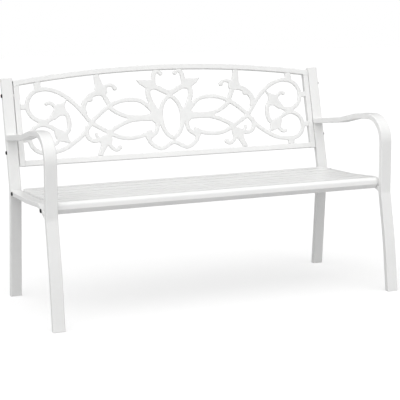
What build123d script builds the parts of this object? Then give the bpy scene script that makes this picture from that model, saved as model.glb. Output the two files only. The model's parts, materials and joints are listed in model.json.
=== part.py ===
"""Garden bench: two bent-tube side frames, a slatted steel seat and an arched back with a scroll casting.

Millimetres, +Z up, +X along the bench, the sitter faces -Y.  Heights start at the floor.
While the parts are built, Y starts at the front feet; everything moves to the centred frame at export.
"""
import os
from math import cos, pi, radians, sin, sqrt, tan

from build123d import *

# ---- overall ----
WIDTH = 1270.0            # over the outer faces of the side frames
SEAT_HEIGHT = 402.5       # top of the seat's front crest
LEAN = 12.15              # backrest lean, degrees
BACK_LENGTH = 422.0       # backrest apex above seat level, measured up the lean
POST_LENGTH = 392.0       # post above its knee, measured up the lean
ARM_HEIGHT = 619.0        # centreline of the arm at its front bend

# ---- side frames ----
TUBE_W = 40.0             # across the tube, along X
TUBE_T = 20.0
TUBE_WALL = 1.5
TUBE_CORNER = 3.0
RAIL_T = 16.0
CAP_T = 3.0               # visible part of the plastic end caps
PLUG_LENGTH = 14.0
PLUG_WALL = 2.0
PLUG_FIT = 0.1            # clearance round the plug, each side

# ---- seat ----
SIDE_GAP = 2.0            # between a side frame and the seat or the back
BAR = 20.0                # square bars under the seat and round the back
BAR_CORNER = 2.5
SHEET = 1.5
SLAT_W = 50.0
SLAT_GAP = 10.0
SLAT_COUNT = 6
SLAT_LIP = 6.0
SLAT_FRONT = 97.0         # front edge of the first full slat
LIP_FIT = 1.0             # clearance between a slat's lip and a bar
REAR_SLAT_W = 29.0
DISH_Y = 310.0            # lowest line of the seat
DISH_RISE = 9.0           # crest above that line
CREST_Y = 92.0
REAR_RISE = 2.5
NOSE_Y = 68.0
NOSE_DROP = 23.5
NOSE_RADIUS = 12.0
NOSE_LIP = 20.0
NOSE_LIP_ANGLE = 40.0

# ---- fasteners ----
BOLT_R = 3.0
HOLE_FIT = 0.3
THREAD_FIT = 0.05
HEAD_R = 6.3
HEAD_T = 2.6
KEY_FLATS = 4.0
WASHER_R = 7.2
WASHER_T = 1.2
INSERT_R = 4.5
INSERT_LENGTH = 13.0
INSERT_FLANGE_R = 6.5
INSERT_FLANGE_T = 0.5
SPACER_R = 8.0

# ---- back ----
BACK_Y = 503.5            # front face of the posts at seat level
BACK_BASE = 400.0         # the level BACK_Y is measured at
BOTTOM_RAIL = 72.0        # underside of the bottom rail up the lean
ARCH_DROP = 42.0          # fall of the top rail from the middle to its ends
BOLT_UP = (124.0, 327.0)  # back bolts, up the lean
PANEL_T = 8.0
PANEL_INSET = 1.0
PANEL_FIT = 0.2
STRAND = 15.0
CURL = 13.0
STRAND_STEP = 4.0         # straight steps that a cast curve is made of
SPIGOT_R = 3.0
SPIGOT_LENGTH = 5.0

# ---- derived ----
HALF = WIDTH / 2
SIDE_X = HALF - TUBE_W / 2
INNER_X = HALF - TUBE_W
SEAT_X = INNER_X - SIDE_GAP
BAR_X = SEAT_X - BAR / 2
ARCH_R = (SEAT_X ** 2 + ARCH_DROP ** 2) / (2 * ARCH_DROP)
RUN = sin(radians(LEAN))
RISE = cos(radians(LEAN))
BACK = Plane(origin=(0, BACK_Y, BACK_BASE), x_dir=(1, 0, 0), z_dir=(0, -RISE, RUN))
KNEE = (BACK_Y + TUBE_T / 2 / RISE - 8 * tan(radians(LEAN)), BACK_BASE - 8)

parts = {}


# ================= helpers =================
def side_path(points, radii):
    """Bent centreline in the side plane, from (y, z) corners and a bend radius at each inner corner."""
    return Plane.YZ * FilletPolyline(*points, radius=radii)


def tube(path, width, height, wall=TUBE_WALL, corner=TUBE_CORNER):
    """Hollow rectangular tube with rounded edges along a path; its width lies along X."""
    start = Plane(origin=path @ 0, x_dir=(1, 0, 0), z_dir=path % 0)
    outline = RectangleRounded(width, height, corner)
    bore = RectangleRounded(width - 2 * wall, height - 2 * wall, corner - wall)
    return sweep(start * outline, path=path) - sweep(start * bore, path=path)


def x_rod(y, z, x0, x1, r):
    """Cylinder along X from x0 to x1."""
    plane = Plane(origin=(x0, y, z), x_dir=(0, 1, 0), z_dir=(1, 0, 0))
    return extrude(plane * Circle(r), x1 - x0)


def mirror_x(shape):
    return mirror(shape, about=Plane.YZ)


def both_sides(name, shape):
    """The part is modelled on the right, at +X; its mirror image is the left one."""
    parts["right_" + name] = shape
    parts["left_" + name] = mirror_x(shape)


def group(shapes):
    """Separate solids of one fastener group."""
    return Compound(children=[s.solid() for s in shapes])


def in_back(x, up, depth=0.0):
    """Point given across the back, up its lean and behind its front face."""
    point = BACK.from_local_coords(Vector(x, up, -depth))
    return (point.X, point.Y, point.Z)


# ================= side frames =================
REAR_FOOT = (KNEE[0] + 47, 0)
POST_TOP = (KNEE[0] + POST_LENGTH * RUN, KNEE[1] + POST_LENGTH * RISE)
FRONT_LINE = [(7.1, -30), (28, 185), (56, 350), (46, ARM_HEIGHT), (215, ARM_HEIGHT - 4),
              (345, ARM_HEIGHT - 30), (560, ARM_HEIGHT - 48.6)]
FRONT_RADII = [1200, 60, 85, 500, 200]
RAIL_LINE = [(530, 380), (300, 380), (140, 388), (30, 348)]
RAIL_RADII = [400, 60]
SEAT_BOLTS = ((479.0, 381.0), (104.0, 375.0))
BACK_BOLTS = [in_back(0, up, BAR / 2)[1:] for up in BOLT_UP]


def rear_line(top=POST_TOP):
    """Rear leg and post: a straight leg, the knee, then the leaning post."""
    below = (REAR_FOOT[0] + 47 * 30 / KNEE[1], -30)
    return side_path([below, KNEE, top], [100])


def post_front(x, length):
    """Everything behind the plane of the post's front face."""
    slab = BACK * Pos(x, 0, -50) * Box(length, 1400, 100)
    return slab


def cut_at_floor(shape):
    """A leg's tube ends level, on top of its foot cap."""
    return shape - Pos(SIDE_X, 300, CAP_T - 50) * Box(3 * TUBE_W, 1200, 100)


def front_leg():
    arm = tube(side_path(FRONT_LINE, FRONT_RADII), TUBE_W, TUBE_T)
    return cut_at_floor(Pos(SIDE_X, 0, 0) * arm - post_front(SIDE_X, 2 * TUBE_W))


def rear_leg():
    leg = cut_at_floor(Pos(SIDE_X, 0, 0) * tube(rear_line(), TUBE_W, TUBE_T))
    for y, z in BACK_BOLTS:
        leg -= x_rod(y, z, INNER_X - 5, HALF + 5, BOLT_R + HOLE_FIT)
    return leg


def seat_rail():
    """Rail between the legs, coped to the front leg's curve and cut to the post's face."""
    rail = Pos(SIDE_X, 0, 0) * tube(side_path(RAIL_LINE, RAIL_RADII), TUBE_W, RAIL_T)
    rail -= post_front(SIDE_X, 2 * TUBE_W)
    leg = side_path(FRONT_LINE[:4], FRONT_RADII[:2])
    start = Plane(origin=leg @ 0, x_dir=(1, 0, 0), z_dir=leg % 0)
    ahead = start * Pos(0, TUBE_T / 2 - 30) * Rectangle(2 * TUBE_W, 60)
    rail -= Pos(SIDE_X, 0, 0) * sweep(ahead, path=leg)
    for y, z in SEAT_BOLTS:
        rail -= x_rod(y, z, INNER_X - 5, HALF + 5, BOLT_R + HOLE_FIT)
    return rail


def plug_outline():
    """Hollow plug of a cap, a clearance inside the tube's bore."""
    inset = 2 * (TUBE_WALL + PLUG_FIT)
    hollow = inset + 2 * PLUG_WALL
    return (RectangleRounded(TUBE_W - inset, TUBE_T - inset, 1.4)
            - RectangleRounded(TUBE_W - hollow, TUBE_T - hollow, 0.6))


def post_cap(path):
    """Plastic cap on the top of a post, square to it."""
    plane = Plane(origin=path @ 1, x_dir=(1, 0, 0), z_dir=path % 1)
    plate = extrude(plane * RectangleRounded(TUBE_W, TUBE_T, TUBE_CORNER), CAP_T)
    plate = fillet(plate.faces().sort_by(Axis(plane.origin, plane.z_dir))[-1].edges(), 1.2)
    return Pos(SIDE_X, 0, 0) * (plate + extrude(plane * plug_outline(), -PLUG_LENGTH))


def foot_cap(path):
    """Plastic foot: a level plate on the floor and a plug up the leg."""
    way = path % 0
    along = (CAP_T - (path @ 0).Z) / way.Z
    centre = path @ 0 + way * along
    depth = TUBE_T / way.Z
    plane = Plane(origin=(0, centre.Y, 0))
    plate = extrude(plane * RectangleRounded(TUBE_W, depth, TUBE_CORNER), CAP_T)
    plate = fillet(plate.faces().sort_by(Axis.Z)[0].edges(), 0.8)
    lean = Plane(origin=centre - way * 5, x_dir=(1, 0, 0), z_dir=way)
    plug = extrude(lean * plug_outline(), PLUG_LENGTH + 5)
    plug -= Pos(0, centre.Y, CAP_T / 2 - 10) * Box(2 * TUBE_W, 4 * TUBE_T, CAP_T + 20)
    return Pos(SIDE_X, 0, 0) * (plate + plug)


both_sides("front_leg_arm", front_leg())
both_sides("rear_leg_post", rear_leg())
both_sides("seat_rail", seat_rail())

both_sides("front_foot_cap", foot_cap(side_path(FRONT_LINE, FRONT_RADII)))
both_sides("rear_foot_cap", foot_cap(rear_line()))
both_sides("post_cap", post_cap(rear_line()))


# ================= seat =================
def seat_z(y):
    """Top of the slats: a shallow dish with a crest at the front."""
    low = SEAT_HEIGHT - DISH_RISE
    if y > DISH_Y:
        return low + REAR_RISE * ((y - DISH_Y) / (486 - DISH_Y)) ** 2
    share = min(1.0, (DISH_Y - y) / (DISH_Y - CREST_Y))
    return low + DISH_RISE * (1 - cos(pi * share)) / 2


PITCH = SLAT_W + SLAT_GAP
SEAMS = [SLAT_FRONT - SLAT_GAP / 2 + PITCH * i for i in range(SLAT_COUNT + 1)]
REAR_EDGE = SEAMS[-1] + SLAT_GAP / 2 + REAR_SLAT_W
BAR_FRONT = NOSE_Y + NOSE_RADIUS + 0.5


def seat_bar(x):
    """Square bar under the slats, flat under each slat and bent a little at each gap."""
    line = [(y, seat_z(y) - SHEET - BAR / 2) for y in [BAR_FRONT] + SEAMS + [REAR_EDGE]]
    radii = [80] * len(SEAMS)
    return Pos(x, 0, 0) * tube(side_path(line, radii), BAR, BAR, TUBE_WALL, BAR_CORNER)


def slat(y0, y1, front, back):
    """Sheet slat with turned-down lips, lying on the straight stretch of the bars from front to back."""
    slope = (seat_z(back) - seat_z(front)) / (back - front)
    flat = sqrt(1 + slope * slope)
    mid = (y0 + y1) / 2
    stack = SHEET + BAR / 2
    top = seat_z(front) + slope * (mid - front) + stack * (flat - 1)
    plane = Plane(origin=(0, mid, top), x_dir=(1, 0, 0), z_dir=(0, -slope / flat, 1 / flat))
    length = (y1 - y0) * flat
    body = plane * Pos(0, 0, -SHEET / 2) * Box(2 * SEAT_X, length, SHEET)
    inner = BAR / 2 + LIP_FIT
    outer = SEAT_X - BAR - LIP_FIT
    for edge in (-1, 1):
        for side in (-1, 1):
            spot = Pos(side * (inner + outer) / 2, edge * (length - SHEET) / 2, -SLAT_LIP / 2)
            body += plane * spot * Box(outer - inner, SHEET, SLAT_LIP)
    top = body.faces().sort_by(Axis(plane.origin, plane.z_dir))[-1]
    return fillet(top.edges().filter_by(Axis.X), 1.2)


def front_slat():
    """Nose of the seat: a short top, the rolled edge, the front face and the lip turned back under."""
    top = SEAT_HEIGHT - SHEET / 2
    face = NOSE_Y + SHEET / 2
    bottom = SEAT_HEIGHT - NOSE_DROP
    turn = radians(NOSE_LIP_ANGLE)
    lip_end = (face + NOSE_LIP * sin(turn), bottom - NOSE_LIP * cos(turn))
    line = side_path([(SEAMS[0] - SLAT_GAP / 2, top), (face, top), (face, bottom), lip_end],
                     [NOSE_RADIUS - SHEET / 2, 4])
    start = Plane(origin=line @ 0, x_dir=(1, 0, 0), z_dir=line % 0)
    return sweep(start * Rectangle(2 * SEAT_X, SHEET), path=line)


def seat_end_bar():
    bar = seat_bar(BAR_X)
    y, z = SEAT_BOLTS[0]
    return bar - x_rod(y, z, SEAT_X - 5, SEAT_X + 5, INSERT_R + THREAD_FIT)


def seat_bracket():
    """Plate hanging under an end bar for the front seat bolt."""
    y, z = SEAT_BOLTS[1]
    thick = 2 * SHEET
    underside = min(seat_z(SEAMS[0]), seat_z(SEAMS[1])) - SHEET - BAR
    bar_below = SEAT_HEIGHT - SHEET - BAR
    depth = 24.0
    plate = Pos(SEAT_X - thick / 2, y, (bar_below + z - 9) / 2) * Box(thick, depth, bar_below + 4 - z + 9)
    plate -= seat_bar(BAR_X)
    plate = plate.solids().sort_by(Axis.Z)[0]
    return plate - x_rod(y, z, SEAT_X - 10, SEAT_X + 5, INSERT_R + THREAD_FIT)


both_sides("seat_end_bar", seat_end_bar())
both_sides("seat_bracket", seat_bracket())
parts["seat_middle_bar"] = seat_bar(0)
parts["seat_front_slat"] = front_slat()
for i in range(SLAT_COUNT):
    parts[f"seat_slat_{i + 1}"] = slat(SEAMS[i] + SLAT_GAP / 2, SEAMS[i + 1] - SLAT_GAP / 2,
                                       SEAMS[i], SEAMS[i + 1])
parts["seat_rear_slat"] = slat(SEAMS[-1] + SLAT_GAP / 2, REAR_EDGE, SEAMS[-1], REAR_EDGE)


# ================= back frame =================
def back_sketch(shape, depth=0.0):
    return BACK * Pos(0, 0, -depth) * shape


def top_rail():
    """Arched square tube; its ends are cut upright at the outer faces of the stiles."""
    centre = Pos(0, BACK_LENGTH - ARCH_R)
    strip = Pos(0, BACK_LENGTH - ARCH_DROP - BAR / 2) * Rectangle(2 * SEAT_X, 2 * (ARCH_DROP + 2 * BAR))
    outline = (centre * Circle(ARCH_R) - centre * Circle(ARCH_R - BAR)) & strip
    hollow = (centre * Circle(ARCH_R - TUBE_WALL) - centre * Circle(ARCH_R - BAR + TUBE_WALL)) & strip
    rail = extrude(back_sketch(outline), -BAR)
    curved = [e for e in rail.edges() if e.length > WIDTH / 2]
    rail = fillet(curved, BAR_CORNER)
    rail -= extrude(back_sketch(hollow, TUBE_WALL), -(BAR - 2 * TUBE_WALL))
    return rail


def rail_under(gap=0.0):
    """Region under the top rail, less a gap."""
    return Pos(0, BACK_LENGTH - ARCH_R) * Circle(ARCH_R - BAR - gap)


def straight_bar(x0, x1, up0, up1):
    """Square tube of the back frame, from its front outline."""
    outline = Pos((x0 + x1) / 2, (up0 + up1) / 2) * Rectangle(x1 - x0, up1 - up0)
    bar = extrude(back_sketch(outline), -BAR)
    long_axis = Axis.X if x1 - x0 > up1 - up0 else Axis((0, 0, 0), (0, RUN, RISE))
    bar = fillet(bar.edges().filter_by(long_axis), BAR_CORNER)
    shell = TUBE_WALL
    if x1 - x0 > up1 - up0:
        bore = Pos((x0 + x1) / 2, (up0 + up1) / 2) * Rectangle(x1 - x0 + 2, up1 - up0 - 2 * shell)
    else:
        bore = Pos((x0 + x1) / 2, (up0 + up1) / 2) * Rectangle(x1 - x0 - 2 * shell, up1 - up0 + 2)
    return bar - extrude(back_sketch(bore, shell), -(BAR - 2 * shell))


TAB_TOP_X = 505.0
TAB_BOTTOM_X = 490.0
TAB_SIDE_UP = (167.0, 284.0)
TAB_W = 25.0
PANEL_MID = PANEL_INSET + PANEL_T / 2


def spigot(x, up, across, along, radius=SPIGOT_R, length=SPIGOT_LENGTH):
    """Round pin on a tab, centred in the panel's thickness, pointing out into a frame tube."""
    base = in_back(x, up, PANEL_MID)
    direction = (across, along * RUN, along * RISE)
    return extrude(Plane(origin=base, z_dir=direction) * Circle(radius), length)


def arch_up(x, drop):
    return BACK_LENGTH - ARCH_R + sqrt((ARCH_R - drop) ** 2 - x ** 2)


def spigot_places():
    """Root and direction of every spigot on the right half."""
    window_x = SEAT_X - BAR
    places = [(TAB_TOP_X, arch_up(TAB_TOP_X, BAR) - 2, 0, 1), (TAB_BOTTOM_X, BOTTOM_RAIL + BAR + 2, 0, -1)]
    places += [(window_x - 2, up, 1, 0) for up in TAB_SIDE_UP]
    return places


def drill_spigots(shape):
    for x, up, across, along in spigot_places():
        pin = spigot(x, up, across, along, SPIGOT_R + PANEL_FIT, SPIGOT_LENGTH + 1)
        shape = shape - pin - mirror_x(pin)
    return shape


def stile():
    post = straight_bar(SEAT_X - BAR, SEAT_X, BOTTOM_RAIL, BACK_LENGTH)
    keep = extrude(back_sketch(rail_under(), -10), -BAR - 20)
    post = post & keep
    for y, z in BACK_BOLTS:
        post -= x_rod(y, z, SEAT_X - 5, SEAT_X + 5, INSERT_R + THREAD_FIT)
    return drill_spigots(post)


parts["back_top_rail"] = drill_spigots(top_rail())
parts["back_bottom_rail"] = drill_spigots(
    straight_bar(-(SEAT_X - BAR), SEAT_X - BAR, BOTTOM_RAIL, BOTTOM_RAIL + BAR))
both_sides("back_stile", stile())


# ================= scroll casting =================
def ribbon(line, width):
    """Flat band of constant width along a line, in short straight steps."""
    steps = max(8, round(line.length / STRAND_STEP))
    left, right = [], []
    for i in range(steps + 1):
        spot, way = line @ (i / steps), line % (i / steps)
        side = Vector(-way.Y, way.X) * (width / 2)
        left.append(spot + side)
        right.append(spot - side)
    return web(*left, *reversed(right))


def strand(*points, width=STRAND):
    """Cast strand through points (across, up) of the right half, the same width all along."""
    return ribbon(Spline(*points), width)


def leaf(*points):
    """Closed leaf with a smooth outline through its points."""
    line = Spline(*points, periodic=True)
    steps = max(12, round(line.length / STRAND_STEP))
    return web(*[line @ (i / steps) for i in range(steps)])


def web(*points):
    """Closed web with straight edges."""
    return make_face(Polyline(*points, close=True))


def ball(x, up, radius):
    return Pos(x, up) * RegularPolygon(radius, 24)


def bow(x, up, radius, start, sweep_angle):
    """Arc-shaped strand: part of one of the end circles."""
    return ribbon(CenterArc((x, up), radius, start, sweep_angle), STRAND)


def circles():
    """End circles, open towards the middle of the bench, with the curls that fill them."""
    return [
        bow(491, 286, 57.5, -90, 182),
        strand((496, 228.7), (474, 231.5), (448, 248), (424, 272)),
        bow(498, 166, 50.5, -91, 182),
        strand((503, 216.3), (476, 211), (450, 195), (428, 179)),
        web((398, 307), (418, 294), (440, 288), (453, 268), (470, 244), (452, 231), (430, 246), (410, 246),
            (408, 262), (410, 284)),
        strand((442, 266), (450, 284), (466, 294), (482, 288), width=CURL),
        web((396, 144), (406, 162), (408, 182), (428, 194), (446, 200), (458, 188), (453, 166), (442, 155),
            (420, 149)),
        strand((445, 168), (449, 151), (461, 144), (474, 149), width=CURL),
        strand((416, 262), (402, 242), (399, 218), (402, 196), (417, 180), width=STRAND + 1),
    ]


def long_strands():
    """The two strands that cross beside the circles and become the petals."""
    return [
        strand((496, 344), (470, 344), (446, 338), (424, 328), (398, 310), (345, 254), (314, 215), (275, 190),
               (225, 162), (190, 152), (150, 152), (116, 159), (86, 174)),
        strand((502, 115), (476, 115), (450, 118), (424, 125), (396, 140), (345, 178), (314, 215), (275, 250),
               (235, 276), (195, 290), (150, 293), (115, 285), (88, 262), (66, 236)),
        strand((243, 271), (205, 243), (165, 229), (110, 227), (60, 229)),
        strand((250, 177), (205, 201), (160, 216), (110, 219), (60, 217)),
    ]


def middle_motif():
    """Lens, hub, the pointed leaves and hooks above it and the foot under it."""
    return [
        strand((0, 302), (24, 283), (39, 252), (42, 222), (39, 190), (24, 160), (0, 142)),
        leaf((46, 226), (58, 257), (80, 243), (92, 226), (80, 210), (60, 197)),
        strand((0, 312), (30, 325), (60, 336), (82, 329), (85, 306), (77, 280), (62, 248), width=STRAND + 4),
        web((129, 366), (64, 365), (60, 335), (92, 333), (114, 348)),
        strand((60, 340), (60, 364), (56, 386), (46, 400), width=STRAND + 2),
        strand((56, 386), (44, 396), (30, 389), width=CURL),
        ball(29, 388, 8.5),
        strand((62, 212), (60, 190), (66, 170), (82, 158)),
        web((74, 164), (88, 172), (112, 162), (108, 142), (94, 138), (78, 150)),
        strand((0, 127), (22, 118), (50, 106), (78, 116), (93, 131), (99, 156)),
    ]


def upper_flower():
    """Arch on the long strand, the tall leaf that reaches the top rail and its curl."""
    return [
        strand((335, 246), (338, 284), (320, 306), (296, 320), (268, 322), width=STRAND + 5),
        ball(312, 301, 9.5),
        web((297, 322), (290, 345), (291, 378), (289, 412), (270, 412), (269, 380), (260, 354), (246, 344),
            (244, 322), (262, 310), (282, 316)),
        strand((258, 336), (246, 348), (230, 351), (216, 342), width=CURL),
        ball(214, 338, 8.5),
        strand((264, 322), (252, 300), (244, 284), (236, 272), width=STRAND + 2),
    ]


def lower_flower():
    return [
        strand((331, 202), (336, 178), (329, 158), (310, 148), (288, 151), (266, 162)),
        strand((288, 154), (298, 163), (300, 176), width=10),
        web((287, 154), (287, 128), (300, 98), (303, 74), (283, 74), (279, 100), (262, 126), (246, 132),
            (240, 150), (246, 170), (264, 168)),
        strand((256, 140), (244, 119), (230, 110), (217, 114), width=CURL),
        ball(215, 118, 8.5),
    ]


def half_scroll():
    return circles() + long_strands() + middle_motif() + upper_flower() + lower_flower()


def tabs():
    shapes = [Pos(TAB_TOP_X, 360) * Rectangle(TAB_W, 50), Pos(TAB_BOTTOM_X, 100) * Rectangle(TAB_W, 34)]
    shapes += [Pos(564, up) * Rectangle(26, 20) for up in TAB_SIDE_UP]
    return shapes


def panel_window():
    """Opening of the back frame less the fitting clearance."""
    wide = SEAT_X - BAR - PANEL_FIT
    low = BOTTOM_RAIL + BAR + PANEL_FIT
    return (Pos(0, (low + BACK_LENGTH) / 2) * Rectangle(2 * wide, BACK_LENGTH - low)) & rail_under(PANEL_FIT)


def solid_at(shape):
    return extrude(BACK * Pos(0, 0, -PANEL_INSET) * shape, -PANEL_T)


def scroll_panel():
    pieces = []
    for shape in half_scroll() + tabs():
        pieces.append(solid_at(shape))
    half = pieces[0].fuse(*pieces[1:])
    right = extrude(BACK * Pos(400, 250, 10) * Rectangle(800, 800), -60)
    half = half & right
    whole = half + mirror_x(half)
    whole = whole & solid_at(panel_window())
    for x, up, across, along in spigot_places():
        pin = spigot(x, up, across, along)
        whole = whole + pin + mirror_x(pin)
    return whole


parts["scroll_panel"] = scroll_panel()


# ================= fasteners =================
def bolt(y, z):
    """Button-head bolt from the outside of the side frame into its insert nut."""
    start = HALF + WASHER_T
    head = x_rod(y, z, start, start + HEAD_T, HEAD_R)
    head = fillet(head.faces().sort_by(Axis.X)[-1].edges(), HEAD_T * 0.6)
    head -= extrude(Plane(origin=(start + HEAD_T, y, z), z_dir=(-1, 0, 0)) * RegularPolygon(KEY_FLATS / 2, 6,
                    major_radius=False), HEAD_T * 0.6)
    return head + x_rod(y, z, SEAT_X - INSERT_LENGTH + 2, start, BOLT_R)


def washer(y, z):
    return x_rod(y, z, HALF, HALF + WASHER_T, WASHER_R) - x_rod(y, z, HALF - 1, HALF + 3, BOLT_R + HOLE_FIT)


def insert_nut(y, z):
    """Flanged insert nut in a stile, an end bar or a bracket."""
    body = x_rod(y, z, SEAT_X - INSERT_LENGTH, SEAT_X, INSERT_R)
    body += x_rod(y, z, SEAT_X, SEAT_X + INSERT_FLANGE_T, INSERT_FLANGE_R)
    return body - x_rod(y, z, SEAT_X - 2 * INSERT_LENGTH, SEAT_X + 5, BOLT_R + THREAD_FIT)


def spacer(y, z):
    start = SEAT_X + INSERT_FLANGE_T
    return x_rod(y, z, start, INNER_X, SPACER_R) - x_rod(y, z, start - 1, INNER_X + 1, BOLT_R + HOLE_FIT)


for place, points in (("back", BACK_BOLTS), ("seat", SEAT_BOLTS)):
    for name, make in (("bolts", bolt), ("washers", washer), ("insert_nuts", insert_nut), ("spacers", spacer)):
        right = [make(y, z) for y, z in points]
        parts[f"{place}_{name}"] = group(right + [mirror_x(s) for s in right])


# ================= export =================
lows = [shape.bounding_box().min.Y for shape in parts.values()]
highs = [shape.bounding_box().max.Y for shape in parts.values()]
middle = (min(lows) + max(highs)) / 2
floor = min(shape.bounding_box().min.Z for shape in parts.values())
os.makedirs("parts", exist_ok=True)
for name, shape in parts.items():
    placed = Pos(0, -middle, -floor) * shape
    export_step(placed, f"parts/{name}.step")
    print(name, len(placed.solids()), round(placed.volume))
print("middle", middle, "floor", floor)
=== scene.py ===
"""Looks of the garden bench.

Powder-coated tube, sheet and casting, plastic caps, plated bolts and the weld beads that join the frame.
"""
import json
import math

import bmesh
import bpy
from mathutils import Matrix, Vector


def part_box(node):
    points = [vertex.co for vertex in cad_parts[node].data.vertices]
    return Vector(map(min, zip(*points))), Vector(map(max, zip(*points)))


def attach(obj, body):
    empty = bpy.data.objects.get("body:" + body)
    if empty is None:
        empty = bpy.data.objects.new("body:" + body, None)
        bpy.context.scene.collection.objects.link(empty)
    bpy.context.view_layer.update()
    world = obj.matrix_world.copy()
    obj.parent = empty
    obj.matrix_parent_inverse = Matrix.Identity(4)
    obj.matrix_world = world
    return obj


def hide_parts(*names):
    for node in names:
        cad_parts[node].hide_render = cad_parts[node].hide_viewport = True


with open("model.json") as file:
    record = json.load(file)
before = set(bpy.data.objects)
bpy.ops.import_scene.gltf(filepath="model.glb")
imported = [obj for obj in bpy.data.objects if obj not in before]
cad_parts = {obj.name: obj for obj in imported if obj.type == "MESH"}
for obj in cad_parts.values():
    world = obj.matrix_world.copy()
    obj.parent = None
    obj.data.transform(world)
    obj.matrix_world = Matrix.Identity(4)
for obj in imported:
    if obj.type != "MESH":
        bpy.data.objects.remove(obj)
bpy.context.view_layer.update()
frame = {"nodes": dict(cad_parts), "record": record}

# ---- sizes, metres ----
LEAN = math.radians(12.15)       # the backrest's lean, as in the CAD
CAST_VOXEL = 0.0022
CAST_SMOOTHING = 3
MERGE_DISTANCE = 0.00001

# ---- weld beads, metres ----
BEAD = 0.0017
BEAD_STEP = 0.0012               # one ripple point along a bead
RING_POWER = 7                   # squareness of a bead that runs round a tube
RIM = 0.0003                     # how near a tube's end a point counts as its rim
STILE_RIM = 0.004
STILE_WELD_DROP = 0.0015
ARCH_SLOPE = 0.14                # slope of the top rail where it meets a stile
RAIL_TILT = math.radians(8)      # tilt of a seat rail's front end
RAIL_FRONT = 0.012
RAIL_RIM = 0.001
SLAT_THICKNESS = 0.0015
SLAT_EDGE = 0.004
TACK_END = 0.009                 # bare length at each end of a slat weld
TACK_DROP = 0.0006
TACK_OUT = 0.0004
TACK_REACH = 0.592               # no slat weld lies farther from the middle than this

# ---- colours, linear ----
WHITE_COAT = (0.835, 0.836, 0.83, 1)
SHEET_COAT = (0.90, 0.90, 0.895, 1)
CAST_COAT = (0.825, 0.826, 0.82, 1)
CAP_WHITE = (0.80, 0.80, 0.79, 1)
BLACK_ZINC = (0.022, 0.022, 0.024, 1)
BLACK_ZINC_WORN = (0.035, 0.034, 0.038, 1)
BRIGHT_ZINC = (0.62, 0.62, 0.60, 1)
BRIGHT_ZINC_DULL = (0.50, 0.51, 0.50, 1)
NYLON = (0.78, 0.775, 0.75, 1)
DUST_COLOUR = (0.60, 0.575, 0.53, 1)
PIT_COLOUR = (0.55, 0.54, 0.52, 1)
# painted shade: the grey laid along the seams between the slats
SEAM_SHADE_COLOUR = (0.34, 0.34, 0.335, 1)
BLACK = (0, 0, 0, 1)
WHITE = (1, 1, 1, 1)

# ---- floor, light and camera ----
FLOOR = (0.50, 0.50, 0.50, 1)
FLOOR_GLOW = 0.54                # paper-white sweep: evens out what the floor shows
FLOOR_SIZE = 30
SKY_SEEN = 1.0
SKY_BASE = 0.54
SKY_TOP = 0.48
SKY_SIDE = (-0.60, -0.82, 0)     # brighter from the front and the left
SKY_LOW = 0.45                   # share of that side light that comes in level
SKY_LEAST = 0.22
SUN_STRENGTH = 0.62
SUN_SOFTNESS = math.radians(75)
SUN_TOWARDS = (0.05, 0.15, -1)
CAMERA_PLACE = (-1.592, -3.7498, 0.965)
CAMERA_YAW = math.radians(23.10)
CAMERA_PITCH = math.radians(5.82)
CAMERA_ROLL = math.radians(-0.99)
CAMERA_LENS = 103.7
CAMERA_SHIFT = -0.15

UP_THE_LEAN = Vector((0, math.sin(LEAN), math.cos(LEAN)))
OUT_OF_BACK = Vector((0, -math.cos(LEAN), math.sin(LEAN)))
ALONG_X = Vector((1, 0, 0))


# ================= node helpers =================
def node(tree, kind, **settings):
    made = tree.nodes.new(kind)
    for name, value in settings.items():
        if name.startswith("in_"):
            made.inputs[name[3:].replace("_", " ")].default_value = value
        else:
            setattr(made, name, value)
    return made


def link(tree, source, target):
    tree.links.new(source, target)


def new_group(name, inputs, outputs):
    """Shader node group with named float inputs and outputs; returns tree, its input and output nodes."""
    tree = bpy.data.node_groups.new(name, "ShaderNodeTree")
    for label, value in inputs:
        socket = tree.interface.new_socket(label, in_out="INPUT", socket_type="NodeSocketFloat")
        socket.default_value = value
    for label in outputs:
        tree.interface.new_socket(label, in_out="OUTPUT", socket_type="NodeSocketFloat")
    return tree, tree.nodes.new("NodeGroupInput"), tree.nodes.new("NodeGroupOutput")


def noise(tree, place, scale, detail=2.0, roughness=0.5):
    made = node(tree, "ShaderNodeTexNoise", in_Detail=detail, in_Roughness=roughness)
    link(tree, place.outputs["Object"], made.inputs["Vector"])
    if isinstance(scale, (int, float)):
        made.inputs["Scale"].default_value = scale
    else:
        link(tree, scale, made.inputs["Scale"])
    return made.outputs["Fac"]


def remap(tree, value, low, high, to_low, to_high):
    made = node(tree, "ShaderNodeMapRange")
    for label, number in (("From Min", low), ("From Max", high), ("To Min", to_low), ("To Max", to_high)):
        if isinstance(number, (int, float)):
            made.inputs[label].default_value = number
        else:
            link(tree, number, made.inputs[label])
    link(tree, value, made.inputs["Value"])
    return made.outputs["Result"]


def math_node(tree, operation, a, b):
    made = node(tree, "ShaderNodeMath", operation=operation)
    for socket, value in zip(made.inputs, (a, b)):
        if isinstance(value, (int, float)):
            socket.default_value = value
        else:
            link(tree, value, socket)
    return made.outputs[0]


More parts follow.
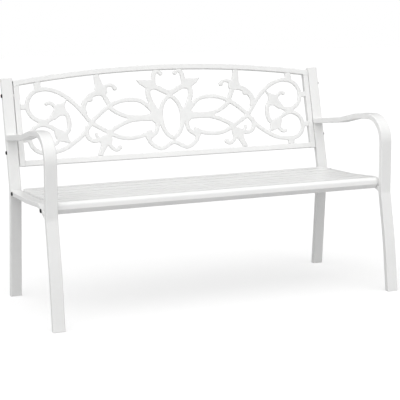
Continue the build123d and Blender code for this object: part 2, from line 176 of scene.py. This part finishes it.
# ================= effects shared by the materials =================
def orange_peel_group():
    """Baked powder: a fine peel, a slow wander in film thickness, and rare specks."""
    tree, given, result = new_group(
        "powder film",
        [("Peel Scale", 650.0), ("Gloss", 0.35), ("Gloss Spread", 0.10), ("Tone Spread", 0.03)],
        ["Tone", "Roughness", "Height"])
    place = node(tree, "ShaderNodeTexCoord")
    peel = noise(tree, place, given.outputs["Peel Scale"], 2.5, 0.55)
    drift = noise(tree, place, 5.5, 3.0, 0.5)
    cloud = noise(tree, place, 38.0, 2.0, 0.6)
    speck = node(tree, "ShaderNodeTexVoronoi", in_Scale=160.0)
    link(tree, place.outputs["Object"], speck.inputs["Vector"])
    dots = remap(tree, speck.outputs["Distance"], 0.02, 0.07, 1.0, 0.0)
    slow = math_node(tree, "MULTIPLY", drift, 0.7)
    quick = math_node(tree, "MULTIPLY", cloud, 0.3)
    wander = math_node(tree, "ADD", slow, quick)
    shade = remap(tree, wander, 0.35, 0.65, 1.0, 0.0)
    loss = math_node(tree, "MULTIPLY", shade, given.outputs["Tone Spread"])
    speck_loss = math_node(tree, "MULTIPLY", dots, 0.02)
    link(tree, math_node(tree, "SUBTRACT", math_node(tree, "SUBTRACT", 1.0, loss), speck_loss),
         result.inputs["Tone"])
    centred = math_node(tree, "SUBTRACT", cloud, 0.5)
    uneven = math_node(tree, "MULTIPLY", centred, given.outputs["Gloss Spread"])
    fine = math_node(tree, "MULTIPLY", math_node(tree, "SUBTRACT", peel, 0.5), 0.06)
    link(tree, math_node(tree, "ADD", math_node(tree, "ADD", given.outputs["Gloss"], uneven), fine),
         result.inputs["Roughness"])
    link(tree, math_node(tree, "ADD", peel, math_node(tree, "MULTIPLY", dots, 0.5)), result.inputs["Height"])
    return tree


def dust_group():
    """Thin dust that settles on faces looking up, thicker in patches."""
    tree, given, result = new_group("settled dust", [("Amount", 0.3), ("Patch Scale", 9.0)], ["Mask"])
    place = node(tree, "ShaderNodeTexCoord")
    facing = node(tree, "ShaderNodeSeparateXYZ")
    link(tree, node(tree, "ShaderNodeNewGeometry").outputs["Normal"], facing.inputs["Vector"])
    upward = remap(tree, facing.outputs["Z"], 0.35, 0.95, 0.0, 1.0)
    patches = remap(tree, noise(tree, place, given.outputs["Patch Scale"], 5.0, 0.6), 0.38, 0.72, 0.0, 1.0)
    grains = remap(tree, noise(tree, place, 900.0, 1.0, 0.5), 0.45, 0.75, 0.4, 1.0)
    settled = math_node(tree, "MULTIPLY", math_node(tree, "MULTIPLY", upward, patches), grains)
    link(tree, math_node(tree, "MULTIPLY", settled, given.outputs["Amount"]), result.inputs["Mask"])
    return tree


def cast_skin_group():
    """Sand-cast skin under paint: grain, shallow pits and soft undulation."""
    tree, given, result = new_group("sand cast skin", [("Grain Scale", 330.0), ("Pits", 0.5)],
                                    ["Height", "Hollow"])
    place = node(tree, "ShaderNodeTexCoord")
    grain = noise(tree, place, given.outputs["Grain Scale"], 4.0, 0.6)
    swell = noise(tree, place, 60.0, 2.0, 0.5)
    cells = node(tree, "ShaderNodeTexVoronoi", in_Scale=210.0)
    link(tree, place.outputs["Object"], cells.inputs["Vector"])
    hollow = remap(tree, cells.outputs["Distance"], 0.05, 0.20, 1.0, 0.0)
    chance = remap(tree, noise(tree, place, 45.0, 1.0, 0.5), 0.55, 0.68, 0.0, 1.0)
    pits = math_node(tree, "MULTIPLY", math_node(tree, "MULTIPLY", hollow, chance), given.outputs["Pits"])
    fine = math_node(tree, "MULTIPLY", grain, 0.5)
    coarse = math_node(tree, "MULTIPLY", swell, 0.9)
    body = math_node(tree, "ADD", fine, coarse)
    link(tree, math_node(tree, "SUBTRACT", body, pits), result.inputs["Height"])
    link(tree, pits, result.inputs["Hollow"])
    return tree


def plating_group():
    """Zinc plating: tumbling scratches and cloudy passivation."""
    tree, given, result = new_group("plating", [("Scratch Scale", 700.0), ("Gloss", 0.3)],
                                    ["Cloud", "Roughness", "Height"])
    place = node(tree, "ShaderNodeTexCoord")
    stretched = node(tree, "ShaderNodeMapping", in_Scale=(1.0, 0.15, 1.0))
    link(tree, place.outputs["Object"], stretched.inputs["Vector"])
    scratches = node(tree, "ShaderNodeTexNoise", in_Detail=3.0, in_Roughness=0.7)
    link(tree, stretched.outputs["Vector"], scratches.inputs["Vector"])
    link(tree, given.outputs["Scratch Scale"], scratches.inputs["Scale"])
    cloud = noise(tree, place, 240.0, 3.0, 0.6)
    link(tree, cloud, result.inputs["Cloud"])
    spread = math_node(tree, "MULTIPLY", math_node(tree, "SUBTRACT", scratches.outputs["Fac"], 0.5), 0.35)
    link(tree, math_node(tree, "ADD", given.outputs["Gloss"], spread), result.inputs["Roughness"])
    link(tree, scratches.outputs["Fac"], result.inputs["Height"])
    return tree


def moulded_group():
    """Fine spark-eroded grain of a moulded plastic part, with a faint flow tone."""
    tree, given, result = new_group("moulded grain", [("Grain Scale", 1400.0)],
                                    ["Tone", "Roughness", "Height"])
    place = node(tree, "ShaderNodeTexCoord")
    cells = node(tree, "ShaderNodeTexVoronoi", feature="SMOOTH_F1")
    link(tree, place.outputs["Object"], cells.inputs["Vector"])
    link(tree, given.outputs["Grain Scale"], cells.inputs["Scale"])
    flow = noise(tree, place, 55.0, 3.0, 0.5)
    link(tree, remap(tree, flow, 0.3, 0.7, 0.94, 1.0), result.inputs["Tone"])
    link(tree, remap(tree, flow, 0.3, 0.7, 0.44, 0.58), result.inputs["Roughness"])
    link(tree, cells.outputs["Distance"], result.inputs["Height"])
    return tree


def seam_shade_group():
    """Painted shade along the seams between the slats, from their even spacing along Y."""
    tree, given, result = new_group(
        "painted seam shade",
        [("First Seam", 0.0), ("Pitch", 0.06), ("Half Width", 0.0065), ("Amount", 0.4)],
        ["Mask"])
    place = node(tree, "ShaderNodeTexCoord")
    split = node(tree, "ShaderNodeSeparateXYZ")
    link(tree, place.outputs["Object"], split.inputs["Vector"])
    along = math_node(tree, "SUBTRACT", split.outputs["Y"], given.outputs["First Seam"])
    half_pitch = math_node(tree, "MULTIPLY", given.outputs["Pitch"], 0.5)
    shifted = math_node(tree, "ADD", along, half_pitch)
    wrapped = math_node(tree, "FLOORED_MODULO", shifted, given.outputs["Pitch"])
    away = math_node(tree, "ABSOLUTE", math_node(tree, "SUBTRACT", wrapped, half_pitch), 0.0)
    outer = math_node(tree, "ADD", given.outputs["Half Width"], 0.0015)
    near = remap(tree, away, given.outputs["Half Width"], outer, 1.0, 0.0)
    patch = remap(tree, noise(tree, place, 24.0, 4.0, 0.6), 0.3, 0.7, 0.75, 1.0)
    # the mask paints shade onto the slat edges beside each seam
    shaded_seams = math_node(tree, "MULTIPLY", math_node(tree, "MULTIPLY", near, patch), given.outputs["Amount"])
    link(tree, shaded_seams, result.inputs["Mask"])
    return tree


SEAM_SHADE = seam_shade_group()
POWDER = orange_peel_group()
DUST = dust_group()
CAST_SKIN = cast_skin_group()
PLATING = plating_group()
MOULDED = moulded_group()


# ================= materials =================
def material(name, colour):
    """Empty material with a Principled shader; returns material, tree, shader."""
    made = bpy.data.materials.new(name)
    made.use_nodes = True
    made.diffuse_color = colour
    return made, made.node_tree, made.node_tree.nodes["Principled BSDF"]


def effect(tree, group, **values):
    made = tree.nodes.new("ShaderNodeGroup")
    made.node_tree = group
    for label, value in values.items():
        made.inputs[label.replace("_", " ")].default_value = value
    return made


def toned(tree, colour, tone):
    """The colour, darkened where tone is under 1."""
    made = node(tree, "ShaderNodeMix", data_type="RGBA", blend_type="MIX")
    made.inputs[6].default_value = BLACK
    made.inputs[7].default_value = colour
    link(tree, tone, made.inputs[0])
    return made.outputs[2]


def over(tree, below, colour, mask):
    made = node(tree, "ShaderNodeMix", data_type="RGBA", blend_type="MIX")
    link(tree, below, made.inputs[6])
    made.inputs[7].default_value = colour
    link(tree, mask, made.inputs[0])
    return made.outputs[2]


def bump(tree, height, distance, strength, before=None):
    made = node(tree, "ShaderNodeBump", in_Distance=distance, in_Strength=strength)
    link(tree, height, made.inputs["Height"])
    if before is not None:
        link(tree, before, made.inputs["Normal"])
    return made.outputs["Normal"]


def powder_coat(name, colour, peel_scale, gloss, dust, peel_depth=0.00012):
    made, tree, shader = material(name, colour)
    film = effect(tree, POWDER, Peel_Scale=peel_scale, Gloss=gloss, Gloss_Spread=0.12, Tone_Spread=0.03)
    settled = effect(tree, DUST, Amount=dust, Patch_Scale=9.0)
    coloured = toned(tree, colour, film.outputs["Tone"])
    link(tree, over(tree, coloured, DUST_COLOUR, settled.outputs["Mask"]), shader.inputs["Base Color"])
    rough = math_node(tree, "ADD", film.outputs["Roughness"],
                      math_node(tree, "MULTIPLY", settled.outputs["Mask"], 0.4))
    link(tree, rough, shader.inputs["Roughness"])
    link(tree, bump(tree, film.outputs["Height"], peel_depth, 0.35), shader.inputs["Normal"])
    shader.inputs["IOR"].default_value = 1.5
    shader.inputs["Coat Weight"].default_value = 0.12
    shader.inputs["Coat Roughness"].default_value = 0.22
    return made


def cast_coat(name, colour):
    made, tree, shader = material(name, colour)
    film = effect(tree, POWDER, Peel_Scale=520.0, Gloss=0.40, Gloss_Spread=0.14, Tone_Spread=0.04)
    skin = effect(tree, CAST_SKIN, Grain_Scale=330.0, Pits=0.6)
    settled = effect(tree, DUST, Amount=0.10, Patch_Scale=14.0)
    coloured = toned(tree, colour, film.outputs["Tone"])
    pitted = over(tree, coloured, PIT_COLOUR, math_node(tree, "MULTIPLY", skin.outputs["Hollow"], 0.4))
    link(tree, over(tree, pitted, DUST_COLOUR, settled.outputs["Mask"]), shader.inputs["Base Color"])
    link(tree, film.outputs["Roughness"], shader.inputs["Roughness"])
    shaped = bump(tree, skin.outputs["Height"], 0.0005, 0.5)
    link(tree, bump(tree, film.outputs["Height"], 0.0001, 0.3, shaped), shader.inputs["Normal"])
    shader.inputs["IOR"].default_value = 1.5
    shader.inputs["Coat Weight"].default_value = 0.08
    shader.inputs["Coat Roughness"].default_value = 0.28
    return made


def moulded_plastic(name, colour, through=0.0):
    made, tree, shader = material(name, colour)
    grain = effect(tree, MOULDED, Grain_Scale=1400.0)
    link(tree, toned(tree, colour, grain.outputs["Tone"]), shader.inputs["Base Color"])
    link(tree, grain.outputs["Roughness"], shader.inputs["Roughness"])
    link(tree, bump(tree, grain.outputs["Height"], 0.0001, 0.4), shader.inputs["Normal"])
    shader.inputs["IOR"].default_value = 1.49
    shader.inputs["Subsurface Weight"].default_value = through
    shader.inputs["Subsurface Scale"].default_value = 0.002
    return made


def plated_steel(name, colour, patina, metallic, gloss):
    made, tree, shader = material(name, colour)
    plate = effect(tree, PLATING, Scratch_Scale=700.0, Gloss=gloss)
    base = node(tree, "ShaderNodeMix", data_type="RGBA")
    base.inputs[6].default_value = colour
    base.inputs[7].default_value = patina
    link(tree, remap(tree, plate.outputs["Cloud"], 0.4, 0.65, 0.0, 1.0), base.inputs[0])
    link(tree, base.outputs[2], shader.inputs["Base Color"])
    link(tree, plate.outputs["Roughness"], shader.inputs["Roughness"])
    link(tree, bump(tree, plate.outputs["Height"], 0.00006, 0.4), shader.inputs["Normal"])
    shader.inputs["Metallic"].default_value = metallic
    return made


def seat_sheet_coat():
    """Powder coat of the slats, with painted shade along the seams they leave between them."""
    made = powder_coat("white sheet coat", SHEET_COAT, 720.0, 0.42, 0.08)
    tree = made.node_tree
    shader = tree.nodes["Principled BSDF"]
    slat_low, slat_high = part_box("seat_slat_2")
    next_low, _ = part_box("seat_slat_3")
    seam = (slat_high.y + next_low.y) / 2
    # painted shade darkens the slats' tops beside each seam
    seam_shade_mask = effect(tree, SEAM_SHADE, First_Seam=seam, Pitch=next_low.y - slat_low.y, Half_Width=0.0066,
                   Amount=0.30)
    clean = shader.inputs["Base Color"].links[0].from_socket
    link(tree, over(tree, clean, SEAM_SHADE_COLOUR, seam_shade_mask.outputs["Mask"]), shader.inputs["Base Color"])
    return made


TUBE_COAT = powder_coat("white tube coat", WHITE_COAT, 650.0, 0.36, 0.10)
SHEET_COATING = seat_sheet_coat()
WELD_COAT = powder_coat("white weld coat", WHITE_COAT, 420.0, 0.40, 0.05, 0.0003)
CASTING_COAT = cast_coat("white casting coat", CAST_COAT)
CAP_PLASTIC = moulded_plastic("white cap plastic", CAP_WHITE)
NYLON_PLASTIC = moulded_plastic("nylon spacer", NYLON, 0.15)
BOLT_PLATE = plated_steel("black zinc", BLACK_ZINC, BLACK_ZINC_WORN, 0.65, 0.36)
ZINC_PLATE = plated_steel("bright zinc", BRIGHT_ZINC, BRIGHT_ZINC_DULL, 1.0, 0.30)

FINISH = {"white_tube": TUBE_COAT, "white_sheet": SHEET_COATING, "white_casting": CASTING_COAT,
          "cap_plastic": CAP_PLASTIC, "spacer_nylon": NYLON_PLASTIC, "black_bolt": BOLT_PLATE,
          "zinc_steel": ZINC_PLATE}


def finish_frame():
    """Every CAD node takes the material of its slot in the record."""
    for part in frame["record"]["subparts"]:
        piece = frame["nodes"][part["node"]]
        for place in piece.material_slots:
            place.material = FINISH[part["material_slot"]]


# ================= pieces =================
def add_piece(name, mesh, finish):
    piece = bpy.data.objects.new(name, mesh)
    bpy.context.scene.collection.objects.link(piece)
    mesh.materials.clear()
    mesh.materials.append(finish)
    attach(piece, "root")
    return piece


def settled_mesh(piece):
    """The piece's mesh with its modifiers applied."""
    made = bpy.data.meshes.new_from_object(piece.evaluated_get(bpy.context.evaluated_depsgraph_get()))
    bpy.data.objects.remove(piece)
    return made


def scroll_casting():
    """The openwork panel with the soft edges of a casting, in place of its flat-faced CAD solid."""
    mesh = frame["nodes"]["scroll_panel"].data.copy()
    work = bmesh.new()
    work.from_mesh(mesh)
    bmesh.ops.remove_doubles(work, verts=work.verts, dist=MERGE_DISTANCE)
    work.to_mesh(mesh)
    work.free()
    draft = bpy.data.objects.new("scroll draft", mesh)
    bpy.context.scene.collection.objects.link(draft)
    skin = draft.modifiers.new("skin", "REMESH")
    skin.mode = "VOXEL"
    skin.voxel_size = CAST_VOXEL
    soften = draft.modifiers.new("soften", "SMOOTH")
    soften.factor = 0.5
    soften.iterations = CAST_SMOOTHING
    shape = settled_mesh(draft)
    shape.shade_smooth()
    panel = add_piece("scroll_casting", shape, CASTING_COAT)
    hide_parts("scroll_panel")
    return panel


def bead_piece(name, paths):
    """Weld beads along paths of (points, closed); each swells and dips like laid ripples."""
    curve = bpy.data.curves.new(name, "CURVE")
    curve.dimensions = "3D"
    curve.bevel_depth = BEAD
    curve.bevel_resolution = 2
    curve.use_fill_caps = True
    for points, closed in paths:
        line = curve.splines.new("POLY")
        line.points.add(len(points) - 1)
        line.use_cyclic_u = closed
        for i, point in enumerate(points):
            line.points[i].co = (*point, 1)
            ripple = 0.88 + 0.12 * math.sin(i * math.pi * 0.9)
            taper = 1.0 if closed else min(1.0, 0.35 + 4 * min(i, len(points) - 1 - i) / len(points))
            line.points[i].radius = ripple * taper
    draft = bpy.data.objects.new(name + " draft", curve)
    bpy.context.scene.collection.objects.link(draft)
    shape = settled_mesh(draft)
    shape.shade_smooth()
    return add_piece(name, shape, WELD_COAT)


def ring_path(centre, across, along, half_across, half_along):
    """Points round a rounded rectangle, in the plane of two directions."""
    count = round(4 * (half_across + half_along) / BEAD_STEP)
    points = []
    for i in range(count):
        turn = 2 * math.pi * i / count
        c, s = math.cos(turn), math.sin(turn)
        size = (abs(c) ** RING_POWER + abs(s) ** RING_POWER) ** (-1 / RING_POWER)
        points.append(centre + across * (half_across * c * size) + along * (half_along * s * size))
    return points, True


def line_path(start, end):
    steps = max(4, round((end - start).length / BEAD_STEP))
    return [start.lerp(end, i / steps) for i in range(steps + 1)], False


def middle(values):
    return (min(values) + max(values)) / 2


def half_span(values):
    return (max(values) - min(values)) / 2


def corners(name):
    return [v.co for v in frame["nodes"][name].data.vertices]


def end_ring(points, direction, across, along, rim=RIM):
    """Bead round the end that faces a direction, from the points that lie within rim of its farthest one."""
    reach = max(p.dot(direction) for p in points)
    edge = [p for p in points if p.dot(direction) > reach - rim]
    a = [p.dot(across) for p in edge]
    b = [p.dot(along) for p in edge]
    centre = across * middle(a) + along * middle(b) + direction * reach
    return ring_path(centre, across, along, half_span(a), half_span(b))


def post_welds(hand):
    """Beads where the arm and the seat rail meet the post."""
    paths = []
    for name in ("front_leg_arm", "seat_rail"):
        paths.append(end_ring(corners(f"{hand}_{name}"), -OUT_OF_BACK, ALONG_X, UP_THE_LEAN))
    bead_piece(f"{hand}_post_welds", paths)


def leg_weld(hand):
    """Bead where the seat rail meets the back of the front leg."""
    low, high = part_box(f"{hand}_seat_rail")
    forward = Vector((0, -math.cos(RAIL_TILT), math.sin(RAIL_TILT)))
    up = Vector((0, math.sin(RAIL_TILT), math.cos(RAIL_TILT)))
    tip = [p for p in corners(f"{hand}_seat_rail") if p.y < low.y + RAIL_FRONT]
    heights = [p.dot(up) for p in tip]
    reach = max(p.dot(forward) for p in tip)
    upper_edge = min(p.dot(forward) for p in tip if p.dot(up) > max(heights) - RAIL_RIM)
    centre = ALONG_X * (low.x + high.x) / 2 + up * middle(heights) + forward * (reach + upper_edge) / 2
    ring = ring_path(centre, ALONG_X, up, (high.x - low.x) / 2, half_span(heights))
    bead_piece(f"{hand}_leg_weld", [ring])


def back_frame_welds(hand):
    """Beads at the bottom rail's end and at the stile's top."""
    outward = ALONG_X * (1 if hand == "right" else -1)
    rail_ring = end_ring(corners("back_bottom_rail"), outward, OUT_OF_BACK, UP_THE_LEAN)
    stile = corners(f"{hand}_back_stile")
    top = max(p.dot(UP_THE_LEAN) for p in stile)
    edge = [p for p in stile if p.dot(UP_THE_LEAN) > top - STILE_RIM]
    x = [p.x for p in edge]
    outs = [p.dot(OUT_OF_BACK) for p in edge]
    centre = ALONG_X * middle(x) + UP_THE_LEAN * (top - STILE_WELD_DROP) + OUT_OF_BACK * middle(outs)
    along = (ALONG_X - UP_THE_LEAN * ARCH_SLOPE * outward.x).normalized()
    stile_ring = ring_path(centre, along, OUT_OF_BACK, half_span(x), half_span(outs))
    bead_piece(f"{hand}_back_welds", [rail_ring, stile_ring])


def slat_bead(slat, x):
    """Bead at x, on the underside of a slat, short of both its edges."""
    front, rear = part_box(slat)
    points = corners(slat)
    z0 = max(p.z for p in points if p.y < front.y + SLAT_EDGE) - SLAT_THICKNESS
    z1 = max(p.z for p in points if p.y > rear.y - SLAT_EDGE) - SLAT_THICKNESS
    rise = (z1 - z0) * TACK_END / (rear.y - front.y)
    start = Vector((x, front.y + TACK_END, z0 + rise - TACK_DROP))
    end = Vector((x, rear.y - TACK_END, z1 - rise - TACK_DROP))
    return line_path(start, end)


def seat_welds(bar):
    """Short beads along both sides of a bar under each slat."""
    low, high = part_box(bar)
    slats = [n for n in sorted(frame["nodes"]) if n.startswith("seat_slat_")] + ["seat_rear_slat"]
    paths = []
    for slat in slats:
        for x in (low.x - TACK_OUT, high.x + TACK_OUT):
            if abs(x) <= TACK_REACH:
                paths.append(slat_bead(slat, x))
    bead_piece(bar.replace("bar", "welds"), paths)


# ================= setting =================
def floor_piece():
    work = bmesh.new()
    bmesh.ops.create_grid(work, x_segments=1, y_segments=1, size=FLOOR_SIZE)
    mesh = bpy.data.meshes.new("floor")
    work.to_mesh(mesh)
    work.free()
    ground = bpy.data.objects.new("floor", mesh)
    bpy.context.scene.collection.objects.link(ground)
    made, tree, shader = material("pale floor", FLOOR)
    place = node(tree, "ShaderNodeTexCoord")
    tone = remap(tree, noise(tree, place, 0.8, 2.0), 0.3, 0.7, 0.985, 1.0)
    link(tree, toned(tree, FLOOR, tone), shader.inputs["Base Color"])
    shader.inputs["Roughness"].default_value = 0.8
    shader.inputs["Specular IOR Level"].default_value = 0.0
    seen = node(tree, "ShaderNodeLightPath")
    shader.inputs["Emission Color"].default_value = WHITE
    link(tree, math_node(tree, "MULTIPLY", seen.outputs["Is Camera Ray"], FLOOR_GLOW),
         shader.inputs["Emission Strength"])
    mesh.materials.append(made)


def overhead_sun():
    """A wide, even light from above."""
    data = bpy.data.lights.new("overhead", "SUN")
    data.energy = SUN_STRENGTH
    data.angle = SUN_SOFTNESS
    lamp = bpy.data.objects.new("overhead", data)
    lamp.rotation_euler = Vector(SUN_TOWARDS).to_track_quat("-Z", "Y").to_euler()
    bpy.context.scene.collection.objects.link(lamp)


def sky():
    """Plain white surround: even where it is seen, with wide soft light from the front and above."""
    world = bpy.data.worlds.new("studio")
    world.use_nodes = True
    bpy.context.scene.world = world
    tree = world.node_tree
    surround = tree.nodes["Background"]
    place = node(tree, "ShaderNodeTexCoord")
    split = node(tree, "ShaderNodeSeparateXYZ")
    link(tree, place.outputs["Generated"], split.inputs["Vector"])
    side = node(tree, "ShaderNodeVectorMath", operation="DOT_PRODUCT")
    link(tree, place.outputs["Generated"], side.inputs[0])
    side.inputs[1].default_value = SKY_SIDE
    height = math_node(tree, "MAXIMUM", split.outputs["Z"], 0.0)
    slanted = math_node(tree, "MULTIPLY", side.outputs["Value"], math_node(tree, "ADD", height, SKY_LOW))
    overhead = math_node(tree, "ADD", math_node(tree, "MULTIPLY", height, SKY_TOP), SKY_BASE)
    level = math_node(tree, "MAXIMUM", math_node(tree, "ADD", slanted, overhead), SKY_LEAST)
    seen = node(tree, "ShaderNodeLightPath")
    choose = node(tree, "ShaderNodeMix", data_type="FLOAT")
    link(tree, seen.outputs["Is Camera Ray"], choose.inputs[0])
    link(tree, level, choose.inputs[2])
    choose.inputs[3].default_value = SKY_SEEN
    surround.inputs["Color"].default_value = WHITE
    link(tree, choose.outputs[0], surround.inputs["Strength"])


def camera():
    data = bpy.data.cameras.new("camera")
    data.sensor_width = 36
    data.lens = CAMERA_LENS
    data.shift_y = CAMERA_SHIFT
    forward = Vector((math.sin(CAMERA_YAW) * math.cos(CAMERA_PITCH),
                      math.cos(CAMERA_YAW) * math.cos(CAMERA_PITCH), -math.sin(CAMERA_PITCH)))
    level = Vector((math.cos(CAMERA_YAW), -math.sin(CAMERA_YAW), 0))
    upright = level.cross(forward)
    right = level * math.cos(CAMERA_ROLL) + upright * math.sin(CAMERA_ROLL)
    up = upright * math.cos(CAMERA_ROLL) - level * math.sin(CAMERA_ROLL)
    turn = Matrix((right, up, -forward)).transposed().to_4x4()
    viewer = bpy.data.objects.new("camera", data)
    viewer.matrix_world = Matrix.Translation(CAMERA_PLACE) @ turn
    bpy.context.scene.collection.objects.link(viewer)
    bpy.context.scene.camera = viewer


finish_frame()
scroll_casting()
for hand in ("left", "right"):
    post_welds(hand)
    leg_weld(hand)
    back_frame_welds(hand)
for bar in ("left_seat_end_bar", "seat_middle_bar", "right_seat_end_bar"):
    seat_welds(bar)
floor_piece()
sky()
overhead_sun()
camera()
bpy.context.scene.view_settings.view_transform = "Standard"
